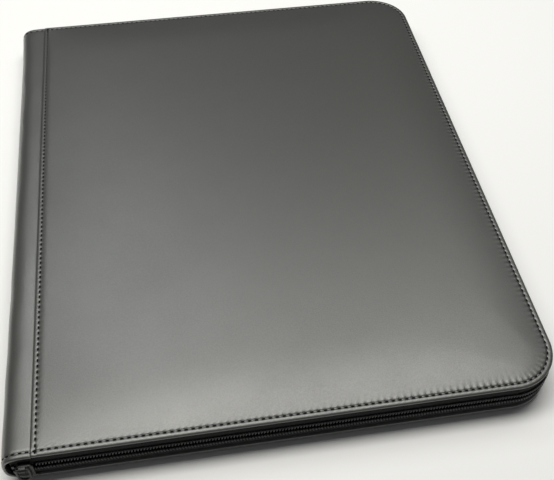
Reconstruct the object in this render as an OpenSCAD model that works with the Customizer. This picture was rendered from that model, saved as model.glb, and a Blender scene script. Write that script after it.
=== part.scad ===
// Zip-up trading card binder with padded covers, lying closed on its back cover.
// X runs from the spine to the fore-edge, Y along the spine and Z up.
// The origin is the middle of the back cover's underside.

/* [Binder] */
// Width of the closed binder, from the spine to the fore-edge
cover_w = 280; // [220:1:340]
// Length of the binder along its spine
cover_l = 341; // [260:1:400]
// Radius of the two fore-edge corners
corner_r = 25; // [14:1:40]

/* [Cover layers] */
// Thickness of the leather-look skin
skin_t = 0.9; // [0.6:0.1:1.4]
// Thickness of the cover boards
board_t = 1.8; // [1.4:0.1:3]
// Gap between the board's edge and the turned hem
board_ease = 0.1; // [0.05:0.05:0.5]
// Thickness of the cloth lining
lining_t = 0.6; // [0.4:0.1:1]
// Height of the padded crown above the stitched hem
pad_crown = 2.4; // [1.5:0.1:5]
// Distance over which the pad swells up from the stitches
swell_w = 34; // [20:1:60]
// Distance of the stitch row from the edge
stitch_inset = 2.5; // [2.4:0.1:4]
// Width of the valley that the stitches pull into the skin
stitch_valley = 1.8; // [1:0.1:2.4]
// Depth of that valley
stitch_dip = 0.4; // [0.1:0.05:0.6]
// Width of the turned hem round the board
hem_w = 6; // [5.5:0.5:10]
// Width over which the hem's top rounds down to its edge
hem_round_w = 1.3; // [0.6:0.1:1.4]
// Height of that rounding
hem_round_t = 1; // [0.5:0.1:1.2]
// Thickness of the hem at its edge
hem_edge_t = 1.8; // [1.5:0.1:2.4]
// Rounding under the hem's edge
hem_r = 0.5; // [0.2:0.1:0.8]

/* [Spine] */
// Outer radius of the leather where it turns onto a cover
spine_r = 7; // [5.5:0.5:9]
// Distance of the lapped seam from the spine's outer face
seam_x = 15.3; // [13:0.1:22]
// Height of the cover skin above the spine leather at the lapped seam
lap_t = 0.4; // [0.2:0.1:0.6]
// Gap between the two leathers at a fold line
fold_gap = 0.3; // [0.2:0.05:0.5]

/* [Pages] */
// Number of leaves
leaf_count = 20; // [12:2:24]
// Height that one leaf takes in the page block
leaf_pitch = 0.64; // [0.6:0.02:0.9]
// Thickness of one leaf
leaf_t = 0.32; // [0.24:0.02:0.34]
// Clearance between the page block and each lining
page_clear = 0.6; // [0.6:0.1:1.5]
// Distance of the leaves from the cover's near and far edges
leaf_inset = 14; // [10:1:40]
// Distance of the leaves from the cover's fore-edge
leaf_margin = 18; // [10:1:40]
// Radius of a leaf's free corners
leaf_corner_r = 5; // [1:1:10]
// Width of one card pocket across a leaf
pocket_w = 70; // [40:1:76]
// Height of one card pocket along the spine
pocket_h = 96; // [50:1:98]
// Width of the weld round a pocket
weld_w = 2; // [1:0.5:4]
// Depth that a weld is pressed into each face of a leaf
weld_dip = 0.06; // [0.02:0.01:0.1]
// Clearance between the leaves' fold lines and the binding
bind_gap = 0.5; // [0.4:0.05:0.8]

/* [Zip] */
// Distance that the teeth stand out past the cover's edge
zip_proud = 0.3; // [0:0.1:0.6]
// Thickness of the zip tape
tape_t = 0.6; // [0.4:0.05:0.6]
// Width of the tape that is sewn under the hem
tape_sewn_w = 6.3; // [4:0.1:8]
// Distance from tooth to tooth
tooth_pitch = 1.5; // [1.2:0.1:2.5]
// Length of a tooth, across the chain
tooth_len = 2.4; // [1.6:0.1:3]
// Width of a tooth, along the chain
tooth_w = 0.8; // [0.5:0.05:1]
// Height of a tooth out from the tape
tooth_t = 1.2; // [0.8:0.1:1.6]
// Width of the strip that joins the teeth's roots
root_w = 0.6; // [0.4:0.1:0.8]
// Length of a tooth that stands past the tape's free edge
tooth_reach = 0.7; // [0.3:0.1:1]
// Distance that a corner's root strip stands back from the straight strips' faces, and its teeth from it
corner_ease = 0.1; // [0.05:0.01:0.2]
// Length of a corner's root strip that lies inside each straight strip
corner_lap = 0.3; // [0.2:0.05:0.6]
// Gap between the two rows of teeth
chain_gap = 2; // [1.2:0.1:2.4]
// Distance of the tape's ends from the spine's outer face
tape_start = 5; // [4.6:0.1:5.4]
// Length of an end stop along the chain
stop_l = 1.4; // [0.8:0.1:1.4]
// Bare tape between a stop and what is next to it
stop_gap = 0.5; // [0.4:0.05:0.6]

/* [Slider and pull] */
// Length of the slider along the chain
slider_l = 8; // [7:0.5:8]
// Distance of the parked slider's middle from the spine's outer face
slider_x = 11.6; // [11.6:0.1:16]
// Thickness of the slider's plates
plate_t = 1; // [0.7:0.1:1.2]
// Width of the slider's side flanges
flange_w = 0.9; // [0.6:0.1:1.4]
// Clearance between the slider and the chain
slider_clear = 0.3; // [0.25:0.05:0.4]
// Thickness of the wedge that joins the slider's plates
wedge_t = 0.7; // [0.5:0.05:0.7]
// Length of that wedge along the chain
wedge_l = 3.2; // [2:0.2:5]
// Length of a side flange along the chain
flange_l = 5.6; // [4:0.2:7]
// Width across the slider's rounded corners
slider_round = 10.8; // [10:0.2:12.6]
// Width of the lug that holds the pull
lug_w = 3.2; // [2:0.2:4]
// Distance of the lug from the slider's middle, towards the spine
lug_shift = 1; // [0:0.1:2]
// Wall of the lug round the pull's wire
lug_wall = 0.6; // [0.5:0.1:1]
// Height of the lug's hole above the middle of the chain
lug_up = 3; // [1.5:0.1:3.5]
// Diameter of the pull's wire
wire_d = 1.2; // [0.8:0.1:1.4]
// Distance between the middles of the pull's legs
pull_w = 5.8; // [5.4:0.1:8]
// Length of the pull, from its hole to the middle of its end
pull_l = 9.4; // [8:0.1:13]
// Radial clearance of the pull in its lug
pull_clear = 0.08; // [0.05:0.01:0.1]

/* [Hidden] */
$fn = 64;
half_l = cover_l / 2;
x_spine = -cover_w / 2;
x_fore = cover_w / 2;
x_lap = x_spine + seam_x;

// Layers of a cover, measured outwards from the face of its lining
board_top = lining_t + board_t;
hem_t = board_top + skin_t;
cover_t = hem_t + pad_crown;

// Heights of the closed binder
page_gap = leaf_count * leaf_pitch + 2 * page_clear;
leaf_l = cover_l - 2 * leaf_inset;
total_t = 2 * cover_t + page_gap;
z_mid = total_t / 2;

// Spine leather: its outer face on a cover, and the fold line in the middle of the turn
flap_w = hem_t - lap_t;
flap_z = cover_t - flap_w;
fold_in = spine_r * (1 - cos(45));
fold_gap_angle = fold_gap / 2 / spine_r * 180 / PI;
spine_half = z_mid - flap_z;
spine_flat_half = spine_half - spine_r;
binding_reach = spine_half - bind_gap * sqrt(2);
binding_half = binding_reach - hem_t;

// Zip: heights are measured from the lining's face towards the middle of the page gap
tape_in = tooth_t - zip_proud;
tape_end_in = tape_in + tape_t;
row_tip = page_gap / 2 - chain_gap / 2;
row_root = row_tip - tooth_len;
tape_edge = row_tip - tooth_reach;
tape_x = x_spine + tape_start;
stop_x = tape_x + stop_gap;
chain_x = stop_x + stop_l + stop_gap;
x_slider = x_spine + slider_x;
upper_chain_x = x_slider + slider_l / 2 + 2 * slider_clear;
corner_x = x_fore - corner_r;
corner_y = half_l - corner_r;
corner_teeth = round((corner_r - tape_in) * PI / 2 / tooth_pitch);

// Slider: its plates stand either side of the chain
plate_out_in = -zip_proud - slider_clear - plate_t;
plate_back_in = tape_end_in + slider_clear;
row_half = chain_gap / 2 + tooth_len;
slider_half = row_half + slider_clear + flange_w;
pull_in = plate_out_in - slider_clear - wire_d / 2;
lug_r = wire_d / 2 + pull_clear + lug_wall;
lug_z = z_mid + lug_up;

skin_colour = "#2e2e2f";
foam_colour = "#c9c4b8";
board_colour = "#8d7a5f";
cloth_colour = "#1f1f21";
film_colour = "#3a3d42";
metal_colour = "#3c3c3e";

function leaf_name(k) = str("leaf_", k < 9 ? "0" : "", k + 1);
COVER_PIECES = ["skin", "pad", "board", "lining", "hinge_flap", "zip_tape", "zip_chain", "zip_stops"];
SPINE_PIECES = ["spine_wrap", "spine_board", "spine_lining", "page_binding"];

// Seats a piece that is drawn from the lining's face outwards on the back or the front cover.
module on_cover(front) {
    if (front)
        translate([0, 0, total_t - cover_t]) children();
    else
        translate([0, 0, cover_t]) mirror([0, 0, 1]) children();
}

// Draws a section in X and height, and runs it along the spine.
module along_spine(length) {
    rotate([90, 0, 0])
        linear_extrude(height = length, center = true) children();
}

// Flat outline of a cover, drawn in from its edge, with round fore-edge corners.
module cover_outline(inset, x_left) {
    r = max(corner_r - inset, hem_round_w);
    right = x_fore - inset;
    half = half_l - inset;
    translate([x_left, -half]) square([right - r - x_left, 2 * half]);
    translate([x_left, r - half]) square([right - x_left, 2 * (half - r)]);
    for (side = [-1, 1])
        translate([right - r, side * (half - r)]) circle(r);
}

// One closed ring of the padded form at an inset and a height.
CORNER_STEPS = 6;
function pad_ring(inset, height) =
    let (
        r = max(corner_r - inset, 6),
        cx = x_fore - inset - r,
        cy = half_l - inset - r,
        left = x_lap + inset,
        steps = [for (i = [0 : CORNER_STEPS]) 90 * i / CORNER_STEPS]
    )
    concat(
        [[left, inset - half_l, height]],
        [for (a = steps) [cx + r * sin(a), -cy - r * cos(a), height]],
        [for (a = steps) [cx + r * cos(a), cy + r * sin(a), height]],
        [[left, half_l - inset, height]]
    );

// Closed form through a list of [inset, height] rings, from the middle of its top to that of its floor.
module padded_form(section) {
    rings = [for (s = section) pad_ring(s[0], s[1])];
    count = len(rings[0]);
    last = len(rings) - 1;
    middle = [(x_lap + x_fore) / 2, 0];
    points = concat(
        [for (ring = rings) each ring],
        [[middle[0], middle[1], section[0][1]], [middle[0], middle[1], section[last][1]]]
    );
    top = count * (last + 1);
    strips = [
        for (j = [0 : last - 1], i = [0 : count - 1])
            let (a = j * count, b = a + count, n = (i + 1) % count)
            each [[a + i, a + n, b + n], [a + i, b + n, b + i]]
    ];
    caps = [
        for (i = [0 : count - 1])
            let (n = (i + 1) % count, b = last * count)
            each [[top, n, i], [top + 1, b + i, b + n]]
    ];
    polyhedron(points = points, faces = concat(strips, caps), convexity = 4);
}

// Height of the padded skin at a share of its swell, and the insets where the swell is drawn.
SWELL_STEPS = [1, 0.78, 0.58, 0.4, 0.26, 0.14, 0.06, 0];
swell_start = stitch_inset + stitch_valley / 2;
function swell_height(inset) =
    let (s = min((inset - swell_start) / swell_w, 1))
    hem_t + pad_crown * (1 - pow(1 - s, 2));
function swell_rings(start, drop) = [
    for (s = SWELL_STEPS)
        let (inset = start + s * (swell_start + swell_w - start))
        [inset, swell_height(inset) - drop]
];
function turned(rings) = [for (i = [len(rings) - 1 : -1 : 0]) rings[i]];
under_skin = swell_rings(hem_w, skin_t);

// Hem from its stitches over its rounded edge and back under to the board. Its underside rises to the edge.
HEM_ANGLES = [90, 60, 30, 0];
hem_under = hem_t - hem_edge_t;
hem_rings = concat(
    [[stitch_inset, hem_t - stitch_dip], [stitch_inset - stitch_valley / 2, hem_t]],
    [for (a = HEM_ANGLES) [hem_round_w * (1 - cos(a)), hem_t - hem_round_t * (1 - sin(a))]],
    [
        [hem_r * (1 - cos(45)), hem_under + hem_r * (1 - cos(45))],
        [hem_r, hem_under],
        [stitch_inset, lining_t],
        [hem_w, lining_t]
    ]
);

module cover_skin(front) {
    color(skin_colour) on_cover(front)
        padded_form(concat(swell_rings(swell_start, 0), hem_rings, turned(under_skin)));
}

module cover_pad(front) {
    color(foam_colour) on_cover(front)
        padded_form(concat(under_skin, [[hem_w, board_top]]));
}

module cover_board(front) {
    outline = [for (p = pad_ring(hem_w + board_ease, 0)) [p[0], p[1]]];
    color(board_colour) on_cover(front)
        translate([0, 0, lining_t])
            linear_extrude(board_t) polygon(outline);
}

module cover_lining(front) {
    color(cloth_colour) on_cover(front)
        linear_extrude(lining_t)
            cover_outline(tape_in + tape_sewn_w, x_spine + spine_r + lap_t);
}

// Leather turned through an arc about its own centre, between two angles.
module leather_arc(from, to) {
    reach = 2 * spine_r;
    intersection() {
        difference() {
            circle(spine_r);
            circle(spine_r - skin_t);
        }
        polygon([[0, 0], reach * [cos(from), sin(from)], reach * [cos(to), sin(to)]]);
    }
}

// Spine leather from the fold line to the lapped seam, with a filled hem at each end.
module hinge_flap(front) {
    flat_x = x_spine + spine_r;
    color(skin_colour) on_cover(front) {
        along_spine(cover_l) {
            translate([flat_x, flap_w - spine_r])
                leather_arc(90, 135 - fold_gap_angle);
            translate([flat_x, flap_w - skin_t]) square([x_lap - flat_x, skin_t]);
        }
        for (side = [-1, 1])
            translate([flat_x, side * (half_l - hem_w / 2) - hem_w / 2, lining_t])
                cube([x_lap - flat_x, hem_w, flap_w - skin_t - lining_t]);
    }
}

module spine_wrap() {
    color(skin_colour) along_spine(cover_l) {
        translate([x_spine, z_mid - spine_flat_half]) square([skin_t, 2 * spine_flat_half]);
        translate([x_spine + spine_r, z_mid - spine_flat_half])
            leather_arc(180, 225 - fold_gap_angle);
        translate([x_spine + spine_r, z_mid + spine_flat_half])
            leather_arc(135 + fold_gap_angle, 180);
    }
}

module spine_board() {
    color(board_colour)
        translate([x_spine + skin_t, hem_w - half_l, z_mid - spine_flat_half])
            cube([board_t, cover_l - 2 * hem_w, 2 * spine_flat_half]);
}

module spine_lining() {
    color(cloth_colour)
        translate([x_spine + skin_t + board_t, hem_w - half_l, z_mid - binding_half])
            cube([lining_t, cover_l - 2 * hem_w, 2 * binding_half]);
}

// Stacked tails of the leaves: a ridge whose two slopes carry the leaves' fold lines.
module page_binding() {
    color(cloth_colour) along_spine(leaf_l)
        polygon([
            [x_spine + hem_t, z_mid - binding_half],
            [x_spine + binding_reach, z_mid],
            [x_spine + hem_t, z_mid + binding_half]
        ]);
}

// A leaf's height at rest, and its fold line's distance from the spine's outer face.
// Each fold line is as far from the spine as the leaf is from its cover's side, so that
// the open leaves lie flat on that cover, one on the other.
function leaf_z(k) = cover_t + page_clear + (k + 0.5) * leaf_pitch;
function leaf_fold(k) = min(leaf_z(k), total_t - leaf_z(k)) - flap_z;

// Welds between three rows of three pockets, which start at the leaf's free edge.
POCKETS = 3;
module pocket_welds() {
    block_w = POCKETS * (pocket_w + weld_w);
    block_h = POCKETS * (pocket_h + weld_w);
    right = x_fore - leaf_margin - leaf_corner_r;
    for (i = [0 : POCKETS])
        translate([right - block_w + i * (pocket_w + weld_w) - weld_w / 2, -block_h / 2])
            square([weld_w, block_h]);
    for (i = [0 : POCKETS])
        translate([right - block_w, i * (pocket_h + weld_w) - block_h / 2 - weld_w / 2])
            square([block_w, weld_w]);
}

module leaf(k) {
    left = x_spine + leaf_fold(k) + leaf_t / 2;
    right = x_fore - leaf_margin;
    half = leaf_l / 2;
    color(film_colour)
        translate([0, 0, leaf_z(k) - leaf_t / 2])
            difference() {
                linear_extrude(leaf_t) {
                    translate([left, -half]) square([right - leaf_corner_r - left, leaf_l]);
                    translate([left, leaf_corner_r - half])
                        square([right - left, leaf_l - 2 * leaf_corner_r]);
                    for (side = [-1, 1])
                        translate([right - leaf_corner_r, side * (half - leaf_corner_r)])
                            circle(leaf_corner_r);
                }
                for (face = [-weld_dip, leaf_t - weld_dip])
                    translate([0, 0, face]) linear_extrude(2 * weld_dip) pocket_welds();
            }
}

// Band of tape round three sides of the cover, between two insets.
module tape_band(from, to) {
    difference() {
        cover_outline(from, tape_x);
        cover_outline(to, tape_x - 1);
    }
}

module zip_tape(front) {
    color(cloth_colour) on_cover(front) {
        translate([0, 0, lining_t - tape_t])
            linear_extrude(tape_t) tape_band(tape_in, tape_in + tape_sewn_w);
        translate([0, 0, -tape_edge])
            linear_extrude(tape_edge + lining_t) tape_band(tape_in, tape_end_in);
    }
}

// Comb of teeth along X from a start to an end, with its roots up.
module comb(start, end) {
    teeth = floor((end - start) / tooth_pitch);
    outline = [
        for (i = [teeth - 1 : -1 : 0])
            let (mid = end - (i + 0.5) * tooth_pitch, half = tooth_w / 2)
            each [
                [mid - half, -root_w], [mid - half, -tooth_len],
                [mid + half, -tooth_len], [mid + half, -root_w]
            ]
    ];
    polygon(concat([[end, -root_w], [end, 0], [start, 0], [start, -root_w]], outline));
}

// Straight run of chain on the side that faces -Y, at a distance from the middle.
module chain_run(start, end, distance) {
    translate([0, tape_in - distance, -row_root])
        rotate([90, 0, 0])
            linear_extrude(tooth_t) comb(start, end);
}

// Quarter turn of chain. Its strip runs a little way inside the straight strips that it joins.
module chain_corner() {
    inner = corner_r - tape_in;
    lap_angle = corner_lap / inner * 180 / PI;
    translate([0, 0, -row_root - root_w + corner_ease])
        rotate([0, 0, -lap_angle])
            rotate_extrude(angle = 90 + 2 * lap_angle)
                translate([inner + corner_ease, 0])
                    square([tooth_t - 2 * corner_ease, root_w - 2 * corner_ease]);
    for (i = [0 : corner_teeth - 1])
        rotate([0, 0, 90 * (i + 0.5) / corner_teeth])
            translate([inner + 2 * corner_ease, -tooth_w / 2, -row_tip])
                cube([tooth_t - 4 * corner_ease, tooth_w, tooth_len - root_w / 2]);
}

module zip_chain(front) {
    near_x = front ? upper_chain_x : chain_x;
    color(metal_colour) on_cover(front) {
        chain_run(near_x, corner_x, half_l);
        rotate([0, 0, 90]) chain_run(-corner_y, corner_y, x_fore);
        mirror([0, 1, 0]) chain_run(chain_x, corner_x, half_l);
        translate([corner_x, corner_y, 0]) chain_corner();
        translate([corner_x, -corner_y, 0]) mirror([0, 1, 0]) chain_corner();
    }
}

// Clips on the tape's edge at the two ends of a chain.
module zip_stops(front) {
    depth = tooth_t + tape_t + tooth_reach;
    color(metal_colour) on_cover(front)
        for (side = [0, 1])
            mirror([0, side, 0])
                translate([stop_x, -zip_proud - half_l, -row_tip])
                    difference() {
                        cube([stop_l, depth, tooth_len]);
                        translate([-stop_l, tooth_t, tooth_reach])
                            cube([3 * stop_l, tape_t, tooth_len]);
                    }
}

// Slider: two plates joined by a wedge, side flanges, and a lug for the pull.
module zip_slider() {
    edge = -half_l;
    color(metal_colour) translate([x_slider, edge, 0]) {
        for (inset = [plate_out_in, plate_back_in])
            translate([0, inset + plate_t, z_mid])
                rotate([90, 0, 0])
                    linear_extrude(plate_t)
                        intersection() {
                            square([slider_l, 2 * slider_half], center = true);
                            circle(d = slider_round);
                        }
        for (side = [-1, 1])
            translate([-flange_l / 2, plate_out_in, z_mid + side * (slider_half - flange_w / 2)])
                translate([0, 0, -flange_w / 2])
                    cube([flange_l, tape_in - slider_clear - plate_out_in, flange_w]);
        translate([-flange_l / 2, plate_out_in, z_mid - wedge_t / 2])
            cube([wedge_l, plate_back_in + plate_t - plate_out_in, wedge_t]);
        translate([-lug_shift, pull_in, lug_z])
            difference() {
                union() {
                    translate([-lug_w / 2, 0, -lug_r])
                        cube([lug_w, plate_out_in - pull_in, 2 * lug_r]);
                    rotate([0, 90, 0]) cylinder(h = lug_w, r = lug_r, center = true);
                }
                rotate([0, 90, 0])
                    cylinder(h = 2 * lug_w, r = wire_d / 2 + pull_clear, center = true);
            }
    }
}

// Pull: one wire bent into a long loop, with its cross bar in the slider's lug.
module zip_pull() {
    bend = pull_w / 2;
    leg = pull_l - bend;
    wire_r = wire_d / 2;
    color(metal_colour) translate([x_slider - lug_shift, pull_in - half_l, lug_z]) {
        translate([-bend, 0, 0]) rotate([0, 90, 0]) cylinder(h = pull_w, r = wire_r);
        for (side = [-1, 1]) {
            translate([side * bend, 0, 0]) sphere(wire_r);
            translate([side * bend, 0, -leg]) cylinder(h = leg, r = wire_r);
        }
        translate([0, 0, -leg]) rotate([-90, 0, 0])
            rotate_extrude(angle = 180) translate([bend, 0]) circle(wire_r);
    }
}

module cover_piece(piece, front) {
    if (piece == "skin") cover_skin(front);
    if (piece == "pad") cover_pad(front);
    if (piece == "board") cover_board(front);
    if (piece == "lining") cover_lining(front);
    if (piece == "hinge_flap") hinge_flap(front);
    if (piece == "zip_tape") zip_tape(front);
    if (piece == "zip_chain") zip_chain(front);
    if (piece == "zip_stops") zip_stops(front);
}

for (piece = COVER_PIECES) {
    cover_piece(piece, false);
    cover_piece(piece, true);
}
spine_wrap();
spine_board();
spine_lining();
page_binding();
for (k = [0 : leaf_count - 1])
    leaf(k);
zip_slider();
zip_pull();
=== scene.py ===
# %% [markdown]
# # A zip-up trading card binder
# The binder is a padded cover of black imitation leather folded round a block of card pages and
# closed by a zip. The rigid and moving pieces come from the CAD frame. This lesson dresses them:
# it models the leather, thread, tape and film, and gives every piece its finish.
# Lengths on the binder are written in millimetres and multiplied by MM, because Blender works in
# metres.

# %% Load the frame
import math

import bmesh
import bpy
from mathutils import Matrix, Vector, noise


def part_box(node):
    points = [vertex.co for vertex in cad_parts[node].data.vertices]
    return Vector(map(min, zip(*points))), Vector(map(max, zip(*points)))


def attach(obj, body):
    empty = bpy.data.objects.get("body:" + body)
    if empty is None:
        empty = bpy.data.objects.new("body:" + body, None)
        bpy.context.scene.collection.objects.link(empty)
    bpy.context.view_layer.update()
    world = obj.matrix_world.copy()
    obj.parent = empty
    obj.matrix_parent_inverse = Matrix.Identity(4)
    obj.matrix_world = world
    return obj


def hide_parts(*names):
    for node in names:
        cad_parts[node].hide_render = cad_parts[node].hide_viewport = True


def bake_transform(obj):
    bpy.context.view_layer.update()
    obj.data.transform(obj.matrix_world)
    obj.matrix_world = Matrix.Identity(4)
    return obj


MM = 0.001
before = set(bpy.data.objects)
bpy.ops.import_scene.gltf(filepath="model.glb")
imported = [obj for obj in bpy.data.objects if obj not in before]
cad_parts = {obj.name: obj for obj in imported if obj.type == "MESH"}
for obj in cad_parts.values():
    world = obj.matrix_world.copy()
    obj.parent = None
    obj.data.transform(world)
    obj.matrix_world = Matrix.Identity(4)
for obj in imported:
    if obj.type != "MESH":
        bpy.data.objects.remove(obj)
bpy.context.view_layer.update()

# %% [markdown]
# The looks have to sit exactly on the CAD, so the main places are read from the CAD nodes' boxes
# instead of being typed again. If the binder is packed again at another size, they follow.
# Places nearer to each other than TOUCH count as the same.

# %% Places read from the frame
skin_low, skin_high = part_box("front_skin")
LAP_X, FORE_X = skin_low.x, skin_high.x
HALF_Y = skin_high.y
LINING_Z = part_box("front_lining")[0].z
TOP_Z = skin_high.z
MIDDLE_Z = TOP_Z / 2
SPINE_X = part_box("spine_wrap")[0].x
FLAP_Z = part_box("front_hinge_flap")[1].z
COVER_T = TOP_Z - LINING_Z
TOUCH = 0.001 * MM
print("cover from", round(LAP_X / MM, 2), "to", round(FORE_X / MM, 2),
      "lining at", round(LINING_Z / MM, 2), "spine at", round(SPINE_X / MM, 2),
      "flap at", round(FLAP_Z / MM, 2))

# %% [markdown]
# Most soft pieces here are lofts: a closed ring of edges is extruded again and again, and each new
# ring is set down at its own place, as a potter stacks coils of clay. Extruding copies a vertex's
# custom data, so a number kept on each vertex of the first ring still names its column in the last.

# %% A tool that lofts a ring of edges
def columns_of(bm):
    return bm.verts.layers.int.get("column") or bm.verts.layers.int.new("column")


def in_order(ring):
    """The vertices of a closed ring of edges, one after the other."""
    first = ring[0].verts[0]
    walk, edge = [first], ring[0]
    inside = set(ring)
    while True:
        vert = edge.other_vert(walk[-1])
        if vert == first:
            return walk
        walk.append(vert)
        edge = next(e for e in vert.link_edges if e in inside and e != edge)


def loft(bm, ring, steps, place):
    """Extrudes a ring through the steps and closes both ends. place(column, step) gives points."""
    column = columns_of(bm)
    bmesh.ops.edgeloop_fill(bm, edges=ring)
    for vert in {v for e in ring for v in e.verts}:
        vert.co = place(vert[column], steps[0])
    for step in steps[1:]:
        grown = bmesh.ops.extrude_edge_only(bm, edges=ring)["geom"]
        new = {v for v in grown if isinstance(v, bmesh.types.BMVert)}
        ring = [e for e in grown if isinstance(e, bmesh.types.BMEdge) and set(e.verts) <= new]
        for vert in new:
            vert.co = place(vert[column], step)
    bmesh.ops.edgeloop_fill(bm, edges=ring)


def section_ring(bm, points):
    """A closed ring of edges with a column for each point of a cross-section."""
    column = columns_of(bm)
    circle = bmesh.ops.create_circle(bm, segments=len(points), radius=MM)["verts"]
    for i, vert in enumerate(circle):
        vert[column] = i
    return list({e for v in circle for e in v.link_edges})


# %% [markdown]
# Every finished piece leaves its bmesh in the same way: normals outwards, flat or smooth shading,
# one material, and its object at the origin with its place in the mesh, as a CAD node's is.

# %% A tool that finishes a piece
def make_piece(bm, name, material, smooth=True):
    bmesh.ops.recalc_face_normals(bm, faces=bm.faces[:])
    for face in bm.faces:
        face.smooth = smooth
    mesh = bpy.data.meshes.new(name)
    bm.to_mesh(mesh)
    bm.free()
    mesh.materials.append(material)
    piece = bpy.data.objects.new(name, mesh)
    bpy.context.scene.collection.objects.link(piece)
    print(name, len(mesh.polygons), "faces")
    return piece


def mirrored(piece, name):
    """A copy of a front cover piece, turned over for the back cover."""
    copy = piece.copy()
    copy.data = piece.data.copy()
    copy.name = copy.data.name = name
    bpy.context.scene.collection.objects.link(copy)
    bm = bmesh.new()
    bm.from_mesh(copy.data)
    over = Matrix.Translation((0, 0, TOP_Z)) @ Matrix.Scale(-1, 4, (0, 0, 1))
    bmesh.ops.transform(bm, matrix=over, verts=bm.verts[:])
    bmesh.ops.reverse_faces(bm, faces=bm.faces[:])
    bm.to_mesh(copy.data)
    bm.free()
    return copy


# %% [markdown]
# All the finishes are built from nodes in the same few ways. A pattern on Object coordinates mixes
# two colours, drives the roughness and raises a bump, so each of these is one call of a small class.

# %% A tool that builds finishes
class Finish:
    """A new material with its Principled shader, and short ways of adding nodes to it."""

    def __init__(self, name):
        self.material = bpy.data.materials.new(name)
        self.material.use_nodes = True
        self.tree = self.material.node_tree
        self.shader = self.tree.nodes["Principled BSDF"]
        self.place = self.add("TexCoord").outputs["Object"]

    def fill(self, node, inputs):
        """Gives a node's inputs their values, or links them to other nodes' outputs."""
        for key, value in inputs.items():
            if isinstance(value, bpy.types.NodeSocket):
                self.tree.links.new(value, node.inputs[key])
            else:
                node.inputs[key].default_value = value

    def add(self, kind, inputs=None, **settings):
        node = self.tree.nodes.new("ShaderNode" + kind)
        for key, value in settings.items():
            setattr(node, key, value)
        self.fill(node, inputs or {})
        return node

    def cloud(self, size, detail, **inputs):
        """A noise pattern with patches of about a size."""
        inputs = {"Vector": self.place, "Scale": 1 / size, "Detail": detail} | inputs
        return self.add("TexNoise", inputs).outputs["Fac"]

    def waves(self, place, scale, **inputs):
        """Slanted bands."""
        inputs = {"Vector": place, "Scale": scale} | inputs
        return self.add("TexWave", inputs, bands_direction="DIAGONAL").outputs["Fac"]

    def combine(self, first, second, operation):
        return self.add("Math", {0: first, 1: second}, operation=operation).outputs[0]

    def spread(self, value, low, high, start=0, end=1):
        """Spreads a value that runs from start to end over another range."""
        inputs = {"Value": value, "From Min": start, "From Max": end, "To Min": low, "To Max": high}
        return self.add("MapRange", inputs).outputs["Result"]

    def emboss(self, height, strength, depth):
        inputs = {"Height": height, "Strength": strength, "Distance": depth}
        normal = self.add("Bump", inputs).outputs["Normal"]
        self.fill(self.shader, {"Normal": normal})
        return normal

    def colour(self, pattern, first, second):
        tone = self.add("MixRGB", {"Fac": pattern, "Color1": first, "Color2": second})
        self.fill(self.shader, {"Base Color": tone.outputs["Color"]})


def shade_of(colour, share):
    return [c * share for c in colour] + [1]


# %% [markdown]
# The cover is imitation leather: a black film with a fine pressed grain and a satin surface. It is
# nearly colourless, so what the eye reads is gloss. The grain is a small cell pattern plus finer
# noise, used as bump. Specks a little larger than the grain and a slow noise from place to place
# are added up, and vary the colour and the gloss.

# %% Leather
GRAIN_CELL, GRAIN_FINE, GRAIN_DEPTH = 0.55 * MM, 0.3 * MM, 0.06 * MM
SPECK, PATCH = 0.8 * MM, 45 * MM
PATCHY_LOW, PATCHY_HIGH = 0.6, 1.4
GLOSS_SPREAD, TONE_SPREAD = 0.07, 0.35
LEATHER_BLACK = (0.037, 0.0385, 0.0345)


def leather(name, colour, roughness, grain):
    finish = Finish(name)
    grid = {"Vector": finish.place, "Scale": 1 / GRAIN_CELL, "Randomness": 1.0}
    cells = finish.add("TexVoronoi", grid, feature="SMOOTH_F1").outputs["Distance"]
    pressed = finish.combine(cells, finish.cloud(GRAIN_FINE, 2.0), "ADD")
    normal = finish.emboss(pressed, grain, GRAIN_DEPTH)
    patchy = finish.combine(finish.cloud(PATCH, 3.0), finish.cloud(SPECK, 1.0), "ADD")
    gloss = finish.spread(patchy, roughness - GLOSS_SPREAD, roughness + GLOSS_SPREAD,
                          PATCHY_LOW, PATCHY_HIGH)
    tone = finish.spread(patchy, 0, 1, PATCHY_LOW, PATCHY_HIGH)
    finish.colour(tone, shade_of(colour, 1 + TONE_SPREAD), shade_of(colour, 1 - TONE_SPREAD))
    finish.fill(finish.shader, {"Roughness": gloss, "Specular IOR Level": 1.0, "Coat Weight": 0.8,
                                "Coat Roughness": roughness, "Coat Normal": normal})
    return finish.material


cover_leather = leather("cover_leather", LEATHER_BLACK, roughness=0.4, grain=0.45)
print("material", cover_leather.name)

# %% [markdown]
# ## The padded covers
# Each cover is a board with a thin foam sheet on it, wrapped in leather. The leather is turned
# round the edge and sewn about 3 mm inside it, so a narrow rim stands outside the stitches and the
# pad swells up inside them. It is lofted from the cover's outline: one ring after another, from the
# turned edge on the underside, round the rim, down into the stitch line and up the swell to the
# middle of the top.

# %% Outline of a cover
CORNER_R = 25 * MM
LAP_CORNER_R = 1.2 * MM
CORNER_STEPS, LAP_CORNER_STEPS = 40, 6
COLUMN_GAP = 0.64 * MM
PAD_FROM, PAD_GROWTH = 12 * MM, 1.1
LAP_SHRINK, LAP_LEAST_R = 0.3, 0.4 * MM
LAP_PAD_FROM, LAP_PAD_GROWTH = 4 * MM, 1.5
ROOM_SHARE = 0.98


def rectangle(bm, low, high, z):
    """One level face between a low and a high corner. Returns its four vertices."""
    corners = bmesh.ops.create_grid(bm, x_segments=1, y_segments=1, size=1)["verts"]
    for vert in corners:
        vert.co = (high.x if vert.co.x > 0 else low.x, high.y if vert.co.y > 0 else low.y, z)
    return corners


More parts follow.
